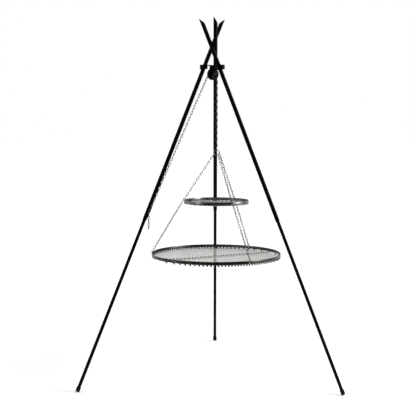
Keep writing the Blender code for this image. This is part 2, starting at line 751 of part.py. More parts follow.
def centre_on_origin():
    """Moves the whole grill so that the origin is in the middle of its footprint."""
    bpy.context.view_layer.update()
    shown = [o for o in bpy.context.scene.objects if o.type == "MESH" and not o.hide_render]
    points = [o.matrix_world @ vertex.co for o in shown for vertex in o.data.vertices]
    for axis in (0, 1):
        low, high = min(p[axis] for p in points), max(p[axis] for p in points)
        empties["tripod"].location[axis] = -(low + high) / 2


def build():
    clear_scene()
    add_frame("tripod", None, Matrix.Identity(4))
    add_head()
    add_legs()
    add_pulley()
    add_lifting_chain()
    add_leg_hook()
    add_grates()
    centre_on_origin()


build()
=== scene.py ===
"""The look of the tripod swing grill: real chain links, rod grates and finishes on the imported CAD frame.

Metres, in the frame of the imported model. Sizes that the CAD settles are read from it.
"""

import json
import math

import bmesh
import bpy
from mathutils import Matrix, Quaternion, Vector


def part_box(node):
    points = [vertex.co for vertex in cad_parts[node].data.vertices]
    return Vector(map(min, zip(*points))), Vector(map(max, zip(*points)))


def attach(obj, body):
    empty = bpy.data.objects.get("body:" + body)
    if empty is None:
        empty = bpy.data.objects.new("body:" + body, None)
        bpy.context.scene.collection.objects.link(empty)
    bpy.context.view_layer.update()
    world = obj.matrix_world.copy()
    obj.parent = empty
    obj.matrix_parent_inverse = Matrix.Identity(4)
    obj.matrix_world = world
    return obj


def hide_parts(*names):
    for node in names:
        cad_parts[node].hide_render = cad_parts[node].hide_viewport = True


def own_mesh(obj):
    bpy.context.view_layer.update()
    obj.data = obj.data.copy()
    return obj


UP = Vector((0, 0, 1))

# Camera, fitted to the photograph
CAMERA_PLACE = (0.0495, -5.9246, 1.5574)
CAMERA_HEADING = math.radians(0.694)
CAMERA_PITCH = math.radians(-5.179)
CAMERA_ROLL = math.radians(0.2)
CAMERA_LENS = 80.40
CAMERA_SENSOR = 36.0
CAMERA_REACH = 200

# Chain
LINK_PITCH = 0.019
LINK_WIDTH = 0.0125
LINK_WIRE = 0.0035
LINK_BEND_STEPS = 6
LINK_WIRE_SIDES = 8
SHEAVE_CHAIN_R = 0.028
SHEAVE_CHAIN_BULGE = 0.0014
LINKS_ON_SHEAVE = 4
LINKS_PAST_SHEAVE = 2
TAIL_LINKS = 5

# Rings that the chains hang on
TOP_RING_WIRE = 0.005
TOP_RING_STEPS = (72, 14)
RIM_RING_WIRE = 0.0035
RIM_RING_STEPS = (40, 10)
TOP_RING_ANGLES = {"left": math.radians(210), "back": math.radians(-12), "front": math.radians(-56)}
LOWER_CHAIN_ANGLE = math.radians(-40)

# Grates
GRATES = ("small_grate", "big_grate")
CHAIN_SIDES = ("left", "back", "front")
RIM_WALL = 0.003
RIM_EDGE_R = 0.0007
RIM_HOLE_D = 0.007
RIM_HOLE_DROP = 0.007
RIM_HOLE_SIDES = 24
RIM_STEPS = 180
RIM_EDGE_STEPS = 3
RIM_LOOKS = {"small_grate": "raw_steel_bright", "big_grate": "raw_steel"}
ROD_PITCH = 0.0185
ROD_D = 0.004
ROD_AZIMUTH = math.radians(120)
ROD_SIDES = 12
ROD_END_R = 0.0006
BAR_WIDTH = 0.006
BAR_SLANT = 5.5
BAR_SIDES = 12
WELD_DEPTH = 0.0006
# Half sizes of the near-black weld where a rod ends under the rim, inside the rim, and where it crosses the bar;
# under the rim and on the bar their dark also paints the shade in the gaps between the rods
END_WELDS_AND_SHADE = {"small_grate": (0.0035, 0.0030, 0.0020), "big_grate": (0.0065, 0.0040, 0.0050)}
INNER_BEADS = {"small_grate": (0.0030, 0.0025, 0.0020), "big_grate": (0.0045, 0.0032, 0.0032)}
CROSS_WELDS_AND_SHADE = {"small_grate": (0.0030, 0.0045, 0.0022), "big_grate": (0.0032, 0.0070, 0.0052)}
BEAD_STEPS = (4, 8)

# Hook on the left leg
HOOK_WIRE = 0.006
UPPER_TUBE_R = 0.0125
HOOK_REACH = 0.018
HOOK_GAP = 0.0003
HOOK_START = UPPER_TUBE_R + HOOK_GAP
HOOK_PRONG = HOOK_START + HOOK_REACH
HOOK_BEND_STEPS = 8
HOOK_SIDES = 16

# CAD nodes that stay
EDGE_ROUNDING = 0.0004
SAME_PLACE = 0.00001
FLAT_ANGLE = math.radians(1)
SHARP_ANGLE = math.radians(35)
SMOOTH_ANGLE = math.radians(30)

# Stage. Distances that a light changes over are given as (from, to).
FLOOR_R = 60.0
FLOOR_TONE = 0.97
FLOOR_LIFT = 0.2
FAR_LIFT = 0.4
FAR_FLOOR = (1.0, 3.0)
WORLD_LIGHT = 0.75
FRONT_LIGHT = 0.06
FRONT = (0.156, -0.988, 0.0)
FRONT_FLOOR = (1.2, 2.4)
FRONT_WORLD = (0.3, 0.6)
SUN_STRENGTH = 0.75
SUN_SIZE = math.radians(12)
SUN_FROM = (1.0, -0.1, 0.8)
SOFT_BOXES = (
    ("box_right", (3.3, -1.0, 1.6), (1.6, 2.0), 75.0),
    ("box_left", (-3.3, -1.7, 1.6), (0.4, 1.6), 12.5),
)
SOFT_BOX_AIM = (0.0, 0.0, 0.9)

# Finishes. A noise is given by its scale, its detail and how it is stretched. Roughness has its two ends,
# tones have the colours over the noise, and relief has its strength and its depth in metres.
EVEN = (1, 1, 1)
FINISHES = {
    "black_coat": {
        "metallic": 0.0,
        "specular": 0.05,
        "roughness": ((35, 3.0, EVEN), 0.3, 0.45),
        "tones": ((14, 4.0, EVEN), ((0.35, (0.0004, 0.0004, 0.0005)), (0.7, (0.0015, 0.0015, 0.0017)))),
        "relief": ((900, 2.0, EVEN), 0.35, 0.00015),
    },
    "black_rubber": {
        "metallic": 0.0,
        "specular": 0.15,
        "roughness": ((120, 3.0, EVEN), 0.7, 0.9),
        "tones": ((60, 3.0, EVEN), ((0.3, (0.003, 0.003, 0.003)), (0.75, (0.007, 0.007, 0.0065)))),
        "relief": ((1500, 1.0, EVEN), 0.4, 0.0001),
    },
    # Also the finish of the grates' weld beads, whose near-black partly paints shade between the rods
    "black_bolt": {
        "metallic": 1.0,
        "roughness": ((400, 3.0, EVEN), 0.3, 0.5),
        "tones": ((150, 3.0, EVEN), ((0.35, (0.010, 0.010, 0.011)), (0.75, (0.030, 0.030, 0.032)))),
        "relief": ((1200, 2.0, EVEN), 0.3, 0.0001),
    },
    "zinc_chain": {
        "metallic": 1.0,
        "roughness": ((260, 3.0, EVEN), 0.2, 0.42),
        "tones": ((110, 3.0, EVEN), ((0.3, (0.09, 0.093, 0.098)), (0.7, (0.21, 0.214, 0.222)))),
        "relief": ((1400, 2.0, EVEN), 0.3, 0.0001),
    },
    # Painted shade: a darker copy of the chains' zinc, only for the hoist chain hanging in front of the dark back
    # leg
    "zinc_chain_painted_shade": {
        "metallic": 1.0,
        "roughness": ((260, 3.0, EVEN), 0.28, 0.48),
        "tones": ((110, 3.0, EVEN), ((0.3, (0.028, 0.029, 0.031)), (0.7, (0.075, 0.077, 0.081)))),
        "relief": ((1400, 2.0, EVEN), 0.3, 0.0001),
    },
    "raw_steel": {
        "metallic": 1.0,
        "roughness": ((30, 4.0, (1, 1, 6)), 0.18, 0.34),
        "tones": (
            (9, 5.0, EVEN),
            ((0.3, (0.036, 0.035, 0.032)), (0.5, (0.07, 0.069, 0.063)), (0.7, (0.15, 0.149, 0.142))),
        ),
        "relief": ((500, 4.0, (1, 1, 3)), 0.35, 0.00012),
    },
    "raw_steel_bright": {
        "metallic": 1.0,
        "roughness": ((30, 4.0, (1, 1, 6)), 0.22, 0.4),
        "tones": (
            (14, 4.0, EVEN),
            ((0.3, (0.11, 0.116, 0.124)), (0.5, (0.17, 0.178, 0.189)), (0.7, (0.25, 0.259, 0.272))),
        ),
        "relief": ((500, 4.0, (1, 1, 3)), 0.35, 0.00012),
    },
    "rod_steel": {
        "metallic": 1.0,
        "roughness": ((200, 3.0, EVEN), 0.28, 0.5),
        "tones": ((25, 4.0, EVEN), ((0.3, (0.44, 0.44, 0.42)), (0.7, (0.66, 0.66, 0.63)))),
        "relief": ((1200, 2.0, EVEN), 0.3, 0.0001),
    },
}
NOISE_RANGE = (0.3, 0.7)

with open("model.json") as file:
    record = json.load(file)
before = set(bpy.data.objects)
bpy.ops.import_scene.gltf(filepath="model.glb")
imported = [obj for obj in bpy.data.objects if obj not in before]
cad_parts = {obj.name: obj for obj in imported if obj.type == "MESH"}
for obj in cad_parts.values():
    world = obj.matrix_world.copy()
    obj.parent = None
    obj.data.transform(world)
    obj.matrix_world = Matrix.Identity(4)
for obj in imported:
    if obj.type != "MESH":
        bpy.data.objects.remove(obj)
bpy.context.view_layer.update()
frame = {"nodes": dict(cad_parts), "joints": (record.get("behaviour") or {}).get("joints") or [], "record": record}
joints = {joint["name"]: joint for joint in frame["joints"]}
materials = {}


def joint_place(name):
    return Vector(joints[name]["pos_m"])


def joint_axis(name):
    return Vector(joints[name]["axis"]).normalized()


def span(node, origin, axis):
    """How far a CAD node reaches along an axis from a point: (lowest, highest)."""
    reaches = [(vertex.co - origin).dot(axis) for vertex in frame["nodes"][node].data.vertices]
    return min(reaches), max(reaches)


def box_center(node):
    low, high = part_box(node)
    return (low + high) / 2


def polar(radius, angle):
    return Vector((radius * math.cos(angle), radius * math.sin(angle), 0))


ROD_ALONG, ROD_ACROSS = polar(1, ROD_AZIMUTH), polar(1, ROD_AZIMUTH + math.pi / 2)


# Materials


def add_noise(nodes, links, place, scale, detail, stretch):
    """Noise on a piece's own coordinates, stretched along its axes."""
    if stretch != EVEN:
        mapping = nodes.new("ShaderNodeMapping")
        mapping.inputs["Scale"].default_value = stretch
        links.new(place, mapping.inputs["Vector"])
        place = mapping.outputs["Vector"]
    texture = nodes.new("ShaderNodeTexNoise")
    texture.inputs["Scale"].default_value = scale
    texture.inputs["Detail"].default_value = detail
    links.new(place, texture.inputs["Vector"])
    return texture.outputs["Fac"]


def add_rise(nodes, links, value, start, end, low=0.0, high=1.0):
    """A number that goes from low to high as another goes from start to end."""
    rise = nodes.new("ShaderNodeMapRange")
    rise.inputs["From Min"].default_value = start
    rise.inputs["From Max"].default_value = end
    rise.inputs["To Min"].default_value = low
    rise.inputs["To Max"].default_value = high
    links.new(value, rise.inputs["Value"])
    return rise


def make_material(name, metallic, roughness, tones, relief, specular=0.5):
    """A Principled material whose roughness, colour and relief each follow a noise."""
    material = bpy.data.materials.new(name)
    material.use_nodes = True
    nodes, links = material.node_tree.nodes, material.node_tree.links
    shader = nodes["Principled BSDF"]
    shader.inputs["Metallic"].default_value = metallic
    shader.inputs["Specular IOR Level"].default_value = specular
    place = nodes.new("ShaderNodeTexCoord").outputs["Object"]

    noise, smooth, rough = roughness
    rise = add_rise(nodes, links, add_noise(nodes, links, place, *noise), *NOISE_RANGE, smooth, rough)
    links.new(rise.outputs["Result"], shader.inputs["Roughness"])

    noise, stops = tones
    ramp = nodes.new("ShaderNodeValToRGB")
    elements = ramp.color_ramp.elements
    while len(elements) < len(stops):
        elements.new(0.5)
    for element, (position, color) in zip(elements, stops):
        element.position = position
        element.color = (*color, 1.0)
    links.new(add_noise(nodes, links, place, *noise), ramp.inputs["Fac"])
    links.new(ramp.outputs["Color"], shader.inputs["Base Color"])

    noise, strength, depth = relief
    bump = nodes.new("ShaderNodeBump")
    bump.inputs["Strength"].default_value = strength
    bump.inputs["Distance"].default_value = depth
    links.new(add_noise(nodes, links, place, *noise), bump.inputs["Height"])
    links.new(bump.outputs["Normal"], shader.inputs["Normal"])
    return material


# Pieces


def piece(name, bm, body, finish, nodes, sharp=35, look=None):
    """Closes a bmesh into a piece that rides on a body and stands for CAD nodes.

    finish is the name of its finish, as the record's slots are named, and look a variant of that finish, if it has
    one of its own, which it takes instead. Edges that turn by more than sharp, in degrees, stay sharp.
    """
    bmesh.ops.recalc_face_normals(bm, faces=bm.faces)
    data = bpy.data.meshes.new(name)
    bm.to_mesh(data)
    bm.free()
    data.shade_smooth()
    if sharp:
        data.set_sharp_from_angle(angle=math.radians(sharp))
    data.materials.append(materials[look or finish])
    obj = bpy.data.objects.new(name, data)
    bpy.context.scene.collection.objects.link(obj)
    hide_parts(*nodes)
    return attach(obj, body)


def bridge(bm, one, other):
    """Faces between two closed rows of points."""
    count = len(one)
    for i in range(count):
        j = (i + 1) % count
        bm.faces.new((one[i], one[j], other[j], other[i]))


def close_rows(bm, rows):
    """A closed body through rows of points, flat at both ends."""
    for one, other in zip(rows, rows[1:]):
        bridge(bm, one, other)
    bm.faces.new(rows[0])
    bm.faces.new(rows[-1])


def sweep(bm, points, ups, radius, sides, closed=False):
    """A round wire along points. ups are directions across the wire that keep it from twisting."""
    rings = []
    count = len(points)
    for i, (point, up) in enumerate(zip(points, ups)):
        if closed:
            along = points[(i + 1) % count] - points[i - 1]
        else:
            along = points[min(i + 1, count - 1)] - points[max(i - 1, 0)]
        side = along.cross(up).normalized()
        across = side.cross(along).normalized()
        angles = [2 * math.pi * (k + 0.5) / sides for k in range(sides)]
        spots = [point + (side * math.cos(a) + across * math.sin(a)) * radius for a in angles]
        rings.append([bm.verts.new(spot) for spot in spots])
    if closed:
        for one, other in zip(rings, rings[1:]):
            bridge(bm, one, other)
        bridge(bm, rings[-1], rings[0])
    else:
        close_rows(bm, rings)


def ring_points(center, radius, right, up, steps):
    angles = [2 * math.pi * i / steps for i in range(steps)]
    return [center + (right * math.cos(a) + up * math.sin(a)) * radius for a in angles]


def add_ring(node, wire, right, steps, sides):
    """A ring of round wire in the upright plane of one level direction."""
    low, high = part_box(node)
    center = (low + high) / 2
    radius = (high.z - low.z - wire) / 2
    bm = bmesh.new()
    points = ring_points(center, radius, right, UP, steps)
    sweep(bm, points, [right.cross(UP)] * steps, wire / 2, sides, closed=True)
    piece(f"{node}_wire", bm, "grates", "zinc_chain", (node,), sharp=None)


# Chain


def add_link(bm, start, end, normal):
    """One oval link whose inner ends are at two points, in the plane across its normal."""
    along = (end - start).normalized()
    side = normal.cross(along).normalized()
    center = (start + end) / 2
    bend_r = (LINK_WIDTH - LINK_WIRE) / 2
    straight = ((end - start).length + LINK_WIRE) / 2 - bend_r
    points = []
    for turn in (0, 1):
        sign = 1 - 2 * turn
        for step in range(LINK_BEND_STEPS + 1):
            angle = -math.pi / 2 + math.pi * step / LINK_BEND_STEPS
            out, across = math.cos(angle), math.sin(angle)
            points.append(center + along * sign * (straight + bend_r * out) + side * sign * bend_r * across)
    sweep(bm, points, [normal] * len(points), LINK_WIRE / 2, LINK_WIRE_SIDES, closed=True)


def across_from(direction, along):
    """The part of a direction that lies across another, as a unit vector."""
    return (direction - along * direction.dot(along)).normalized()


def add_links(bm, points, first, last=None, quarter=False):
    """Links between consecutive points, each a quarter turn from the one before.

    first is the normal of the first link's plane. Where last is given, a little twist along the run brings
    the last link's normal to it, or with quarter to the nearer of it and a quarter turn from it. Returns the
    normal that the next link would have.
    """
    steps = [end - start for start, end in zip(points, points[1:])]
    normals = [across_from(first, steps[0].normalized())]
    for before, after in zip(steps, steps[1:]):
        normals.append(before.rotation_difference(after) @ normals[-1])
    count = len(steps)
    twist = 0.0
    if last is not None:
        along = steps[-1].normalized()
        turned = Quaternion(along, math.pi / 2 * (count - 1)) @ normals[-1]
        goal = across_from(last, along)
        twist = math.atan2(turned.cross(goal).dot(along), turned.dot(goal))
        period = math.pi / 2 if quarter else math.pi
        twist = (twist + period / 2) % period - period / 2
    for k, (start, end) in enumerate(zip(points, points[1:])):
        angle = math.pi / 2 * k + twist * k / max(1, count - 1)
        add_link(bm, start, end, Quaternion(steps[k].normalized(), angle) @ normals[k])
    along = steps[-1].normalized()
    return Quaternion(along, math.pi / 2 * count + twist) @ normals[-1]


def even_points(start, end):
    """Points of equal pitch from one to another, both included."""
    count = max(1, round((end - start).length / LINK_PITCH))
    return [start.lerp(end, i / count) for i in range(count + 1)]


def add_lifting_chain():
    """From the top ring up to the pulley, over its wheel, and down to the hook on the left leg."""
    pulley, axle = joint_place("sheave_spin"), joint_axis("sheave_spin")
    hang = joint_place("grates_turn")
    outward = UP.cross(axle)
    if (hang - pulley).dot(outward) < 0:
        outward = -outward
    _, ring_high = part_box("top_ring")
    bottom = Vector((hang.x, hang.y, ring_high.z - TOP_RING_WIRE))
    top = pulley + outward * SHEAVE_CHAIN_R
    hanging = even_points(bottom, top)

    hook = hook_point() - leg_up("left") * (HOOK_WIRE / 2 + LINK_WIRE)
    toward_hook = hook - pulley
    aim = math.atan2(toward_hook.z, toward_hook.dot(outward)) % (2 * math.pi)
    leave = aim - math.acos(SHEAVE_CHAIN_R / toward_hook.length)
    wrap = []
    for k in range(LINKS_ON_SHEAVE + 1):
        angle = leave * k / LINKS_ON_SHEAVE
        radius = SHEAVE_CHAIN_R + (SHEAVE_CHAIN_BULGE if 0 < k < LINKS_ON_SHEAVE else 0)
        wrap.append(pulley + outward * radius * math.cos(angle) + UP * radius * math.sin(angle))
    down = even_points(wrap[-1], hook)

    slanted = axle + outward
    bm = bmesh.new()
    normal = add_links(bm, hanging[:2], Vector((1, 0, 0)))
    piece("end_link_wire", bm, "lift", "zinc_chain", ("end_link",))
    bm = bmesh.new()
    normal = add_links(bm, hanging[1:-1], normal, slanted, quarter=True)
    # Painted shade: the hoist chain gets a darker copy of the zinc than the other chains
    look = "zinc_chain_painted_shade"
    hoist = piece("hoist_chain_links", bm, "hoist", "zinc_chain", ("hoist_chain",), look=look)
    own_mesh(hoist)
    bm = bmesh.new()
    normal = add_links(bm, hanging[-2:], normal)
    piece("top_link_wire", bm, "top_link", "zinc_chain", ("top_link",))
    bm = bmesh.new()
    normal = add_links(bm, wrap + down[1:LINKS_PAST_SHEAVE + 1], normal)
    piece("sheave_chain_links", bm, "head", "zinc_chain", ("chain_over_sheave",))
    bm = bmesh.new()
    normal = add_links(bm, down[LINKS_PAST_SHEAVE:], normal, hook_side())
    piece("pull_chain_links", bm, "leg_left", "zinc_chain", ("pull_chain",))
    tail = [hook - UP * LINK_PITCH * k for k in range(TAIL_LINKS + 1)]
    bm = bmesh.new()
    add_links(bm, tail, across_from(normal, UP))
    piece("chain_tail_links", bm, "leg_left", "zinc_chain", ("chain_tail",))


# Hook


def leg_up(leg):
    return -joint_axis(f"leg_plug_{leg}")


def hook_foot():
    """Where the hook's level part leaves the leg's axis."""
    origin, up = joint_place("leg_fold_left"), leg_up("left")
    low, _ = span("chain_hook", origin, up)
    return origin + up * (low + HOOK_WIRE / 2)


def hook_side():
    """Level direction from the left leg's axis towards the hook's prong."""
    side = joint_axis("leg_fold_left")
    reach = box_center("chain_hook") - hook_foot()
    return side if reach.dot(side) > 0 else -side


def hook_point():
    """The middle of the hook's level part, where the chain is hooked on."""
    return hook_foot() + hook_side() * (HOOK_PRONG - HOOK_WIRE / 2 + UPPER_TUBE_R) / 2


def add_hook():
    """A bent bar on the left leg, with its tip up."""
    origin, up = joint_place("leg_fold_left"), leg_up("left")
    _, high = span("chain_hook", origin, up)
    foot, side = hook_foot(), hook_side()
    bend = HOOK_WIRE
    corner = foot + side * (HOOK_PRONG - bend)
    path = [foot + side * HOOK_START, corner]
    for step in range(1, HOOK_BEND_STEPS + 1):
        angle = math.pi / 2 * step / HOOK_BEND_STEPS
        path.append(corner + side * bend * math.sin(angle) + up * bend * (1 - math.cos(angle)))
    path.append(foot + side * HOOK_PRONG + up * (high - (foot - origin).dot(up) - HOOK_WIRE / 4))
    bm = bmesh.new()
    sweep(bm, path, [up.cross(side)] * len(path), HOOK_WIRE / 2, HOOK_SIDES)
    piece("chain_hook_bar", bm, "leg_left", "black_coat", ("chain_hook",))


# Grates


def grate_center():
    hang = joint_place("grates_turn")
    return Vector((hang.x, hang.y, 0))


def ring_out(grate, side):
    """Level direction from a grate's middle to one of the rings on its rim."""
    out = box_center(f"{grate}_ring_{side}") - grate_center()
    out.z = 0
    return out.normalized()


def rim_size(grate):
    """Radius, bottom and top of a grate's rim."""
    low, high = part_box(f"{grate}_rim")
    return (high.x - low.x) / 2, low.z, high.z


def add_rim(grate):
    """A band of flat steel on edge with rounded edges and drilled holes."""
    radius, bottom, top = rim_size(grate)
    outer_r, inner_r = radius - RIM_EDGE_R, radius - RIM_WALL + RIM_EDGE_R
    low_z, high_z = bottom + RIM_EDGE_R, top - RIM_EDGE_R
    corners = ((outer_r, low_z), (outer_r, high_z), (inner_r, high_z), (inner_r, low_z))
    profile = []
    for corner, (r, z) in enumerate(corners):
        for step in range(RIM_EDGE_STEPS + 1):
            angle = math.pi / 2 * (corner - 1 + step / RIM_EDGE_STEPS)
            profile.append((r + RIM_EDGE_R * math.cos(angle), z + RIM_EDGE_R * math.sin(angle)))
    bm = bmesh.new()
    center = grate_center()
    rings = []
    for i in range(RIM_STEPS):
        angle = 2 * math.pi * i / RIM_STEPS
        rings.append([bm.verts.new(center + polar(r, angle) + UP * z) for r, z in profile])
    for i, ring in enumerate(rings):
        bridge(bm, ring, rings[(i + 1) % RIM_STEPS])
    rim = piece(f"{grate}_rim_band", bm, "grates", "raw_steel", (f"{grate}_rim",), look=RIM_LOOKS[grate])
    drill(grate, rim, center, radius, top)


def drill(grate, rim, center, radius, top):
    """Cuts the holes for the rings through a rim."""
    bm = bmesh.new()
    for side in CHAIN_SIDES:
        out = ring_out(grate, side)
        middle = center + out * (radius - RIM_WALL / 2) + UP * (top - RIM_HOLE_DROP)
        rings = []
        for end in (-1, 1):
            place = middle + out * end * RIM_WALL * 2
            points = ring_points(place, RIM_HOLE_D / 2, out.cross(UP), UP, RIM_HOLE_SIDES)
            rings.append([bm.verts.new(point) for point in points])
        close_rows(bm, rings)
    bmesh.ops.recalc_face_normals(bm, faces=bm.faces)
    data = bpy.data.meshes.new("drill")
    bm.to_mesh(data)
    bm.free()
    cutter = bpy.data.objects.new("drill", data)
    bpy.context.scene.collection.objects.link(cutter)
    modifier = rim.modifiers.new("holes", "BOOLEAN")
    modifier.operation = "DIFFERENCE"
    modifier.object = cutter
    bpy.context.view_layer.update()
    cut = bpy.data.meshes.new_from_object(rim.evaluated_get(bpy.context.evaluated_depsgraph_get()))
    rim.modifiers.clear()
    rim.data = cut
    bpy.data.objects.remove(cutter, do_unlink=True)


def rods_each_side(grate):
    """How many rods lie on each side of the middle one."""
    return int((rim_size(grate)[0] - ROD_D) / ROD_PITCH)


def rod_lines(grate):
    """Each rod's distance across from the grate's middle, and half its length."""
    radius, _, _ = rim_size(grate)
    count = rods_each_side(grate)
    offsets = [k * ROD_PITCH for k in range(-count, count + 1)]
    return [(offset, math.sqrt(radius**2 - (abs(offset) + ROD_D / 2) ** 2)) for offset in offsets]


def add_rods(grate):
    """Rods side by side under the rim."""
    _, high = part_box(f"{grate}_rods")
    middle = grate_center() + UP * (high.z - ROD_D / 2)
    end_r = ROD_D / 2 - ROD_END_R
    bm = bmesh.new()
    for offset, half in rod_lines(grate):
        inner = half - ROD_END_R
        rows = []
        for s, r in ((-half, end_r), (-inner, ROD_D / 2), (inner, ROD_D / 2), (half, end_r)):
            points = ring_points(middle + ROD_ALONG * s + ROD_ACROSS * offset, r, ROD_ACROSS, UP, ROD_SIDES)
            rows.append([bm.verts.new(point) for point in points])
        close_rows(bm, rows)
    piece(f"{grate}_rod_row", bm, "grates", "rod_steel", (f"{grate}_rods",), sharp=50)


def add_bar(grate):
    """The bar welded across under the rods, flatter towards its ends."""
    low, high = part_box(f"{grate}_rods")
    length = rods_each_side(grate) * ROD_PITCH + ROD_D / 2
    under = high.z - ROD_D
    slant = BAR_SLANT * (under - low.z)
    weld = under - WELD_DEPTH
    bm = bmesh.new()
    rows = []
    for s, bottom in ((-length, weld), (slant - length, low.z), (length - slant, low.z), (length, weld)):
        middle = grate_center() + ROD_ACROSS * s + UP * (under + WELD_DEPTH + bottom) / 2
        tall = (under + WELD_DEPTH - bottom) / 2
        angles = [2 * math.pi * i / BAR_SIDES for i in range(BAR_SIDES)]
        spots = [ROD_ALONG * math.cos(a) * BAR_WIDTH / 2 + UP * math.sin(a) * tall for a in angles]
        rows.append([bm.verts.new(middle + spot) for spot in spots])
    close_rows(bm, rows)
    piece(f"{grate}_rod_bar", bm, "grates", "rod_steel", (f"{grate}_rods",))


def add_bead(bm, center, along, across, half_sizes):
    """A lump of weld, longest along one level direction."""
    rows, sides = BEAD_STEPS
    long_r, wide_r, high_r = half_sizes
    up = UP * high_r
    bottom, top = bm.verts.new(center - up), bm.verts.new(center + up)
    rings = []
    for row in range(1, rows):
        tilt = math.pi * row / rows
        ring = []
        for side in range(sides):
            turn = 2 * math.pi * side / sides
            level = along * math.cos(turn) * long_r + across * math.sin(turn) * wide_r
            ring.append(bm.verts.new(center + level * math.sin(tilt) - up * math.cos(tilt)))
        rings.append(ring)
    for one, other in zip(rings, rings[1:]):
        bridge(bm, one, other)
    for i in range(sides):
        j = (i + 1) % sides
        bm.faces.new((bottom, rings[0][i], rings[0][j]))
        bm.faces.new((top, rings[-1][j], rings[-1][i]))


def add_welds_and_shade(grate):
    """Near-black weld where each rod meets the rim, and where it crosses the bar; under the rim and on the bar the
    dark lumps also paint shade in the gaps between the rods.
    """
    radius, rim_low, _ = rim_size(grate)
    _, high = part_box(f"{grate}_rods")
    center = grate_center()
    bm = bmesh.new()
    for offset, half in rod_lines(grate):
        for end in (-1, 1):
            out = (ROD_ALONG * end * half + ROD_ACROSS * offset).normalized()
            tangent = UP.cross(out)
            size = END_WELDS_AND_SHADE[grate]
            add_bead(bm, center + out * (radius - size[1]) + UP * (rim_low - size[2]), tangent, out, size)
            size = INNER_BEADS[grate]
            add_bead(bm, center + out * (radius - RIM_WALL - size[1] / 2) + UP * rim_low, tangent, out, size)
        crossing = center + ROD_ACROSS * offset + UP * (high.z - ROD_D / 2)
        add_bead(bm, crossing, ROD_ACROSS, ROD_ALONG, CROSS_WELDS_AND_SHADE[grate])
    # The bolts' near-black finish on the beads is partly painted shade in the gaps between the rods
    piece(f"{grate}_welds_and_painted_shade", bm, "grates", "black_bolt", (f"{grate}_rods",), sharp=None)


def add_hanging_chains():
    """From the top ring to the small grate's rings, and from those to the big grate's."""
    center = box_center("top_ring")
    low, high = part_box("top_ring")
    top_ring_r = (high.z - low.z - TOP_RING_WIRE) / 2
    for side in CHAIN_SIDES:
        upper, lower = (box_center(f"{grate}_ring_{side}") for grate in GRATES)
        low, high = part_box(f"small_grate_ring_{side}")
        rim_ring_r = (high.z - low.z - RIM_RING_WIRE) / 2
        out = ring_out("small_grate", side)
        edge = out.cross(UP)

        angle = TOP_RING_ANGLES[side]
        spot = center + Vector((math.cos(angle), 0, math.sin(angle))) * top_ring_r
        tangent = Vector((-math.sin(angle), 0, math.cos(angle)))
        along = (upper - spot).normalized()
        start = spot - along * TOP_RING_WIRE / 2
        end = upper - along * (rim_ring_r - RIM_RING_WIRE / 2)
        bm = bmesh.new()
        add_links(bm, even_points(start, end), tangent, edge.cross(along))
        piece(f"chain_{side}_upper_links", bm, "grates", "zinc_chain", (f"chain_{side}_upper",))

        down = out * math.cos(LOWER_CHAIN_ANGLE) + UP * math.sin(LOWER_CHAIN_ANGLE)
        spot = upper + down * rim_ring_r
        along = (lower - spot).normalized()
        start = spot - along * RIM_RING_WIRE / 2
        end = lower - along * (rim_ring_r - RIM_RING_WIRE / 2)
        last = ring_out("big_grate", side).cross(UP).cross(along)
        bm = bmesh.new()
        add_links(bm, even_points(start, end), edge.cross(along), last)
        piece(f"chain_{side}_lower_links", bm, "grates", "zinc_chain", (f"chain_{side}_lower",))


def add_rings():
    add_ring("top_ring", TOP_RING_WIRE, Vector((1, 0, 0)), *TOP_RING_STEPS)
    for grate in GRATES:
        for side in CHAIN_SIDES:
            add_ring(f"{grate}_ring_{side}", RIM_RING_WIRE, ring_out(grate, side), *RIM_RING_STEPS)


# CAD nodes that stay


def smooth_by_angle():
    """Geometry nodes that shade all but the sharp edges smooth."""
    group = bpy.data.node_groups.new("smooth_by_angle", "GeometryNodeTree")
    group.interface.new_socket("Geometry", in_out="INPUT", socket_type="NodeSocketGeometry")
    group.interface.new_socket("Geometry", in_out="OUTPUT", socket_type="NodeSocketGeometry")
    start, end = group.nodes.new("NodeGroupInput"), group.nodes.new("NodeGroupOutput")
    strip = group.nodes.new("GeometryNodeRemoveAttribute")
    strip.inputs["Name"].default_value = "custom_normal"
    faces = group.nodes.new("GeometryNodeSetShadeSmooth")
    faces.domain = "FACE"
    edges = group.nodes.new("GeometryNodeSetShadeSmooth")
    edges.domain = "EDGE"
    edges.inputs["Shade Smooth"].default_value = False
    angle = group.nodes.new("GeometryNodeInputMeshEdgeAngle")
    compare = group.nodes.new("FunctionNodeCompare")
    compare.data_type = "FLOAT"
    compare.operation = "GREATER_THAN"
    compare.inputs["B"].default_value = SMOOTH_ANGLE
    group.links.new(angle.outputs["Unsigned Angle"], compare.inputs["A"])
    group.links.new(compare.outputs["Result"], edges.inputs["Selection"])
    group.links.new(start.outputs["Geometry"], strip.inputs["Geometry"])
    group.links.new(strip.outputs["Geometry"], faces.inputs["Geometry"])
    group.links.new(faces.outputs["Geometry"], edges.inputs["Geometry"])
    group.links.new(edges.outputs["Geometry"], end.inputs["Geometry"])
    return group


def finish_cad_nodes():
    """Rounds the edges of the CAD nodes that show, and gives them their finish."""
    smoothing = smooth_by_angle()
    slots = {part["node"]: part["material_slot"] for part in frame["record"]["subparts"]}
    for name, node in frame["nodes"].items():
        if node.hide_render:
            continue
        node.data.materials.clear()
        node.data.materials.append(materials[slots[name]])
        weld = node.modifiers.new("weld", "WELD")
        weld.merge_threshold = SAME_PLACE
        planar = node.modifiers.new("planar", "DECIMATE")
        planar.decimate_type = "DISSOLVE"
        planar.angle_limit = FLAT_ANGLE
        bevel = node.modifiers.new("bevel", "BEVEL")
        bevel.width = EDGE_ROUNDING
        bevel.segments = 2
        bevel.limit_method = "ANGLE"
        bevel.angle_limit = SHARP_ANGLE
        shade = node.modifiers.new("shade", "NODES")
        shade.node_group = smoothing


# Stage


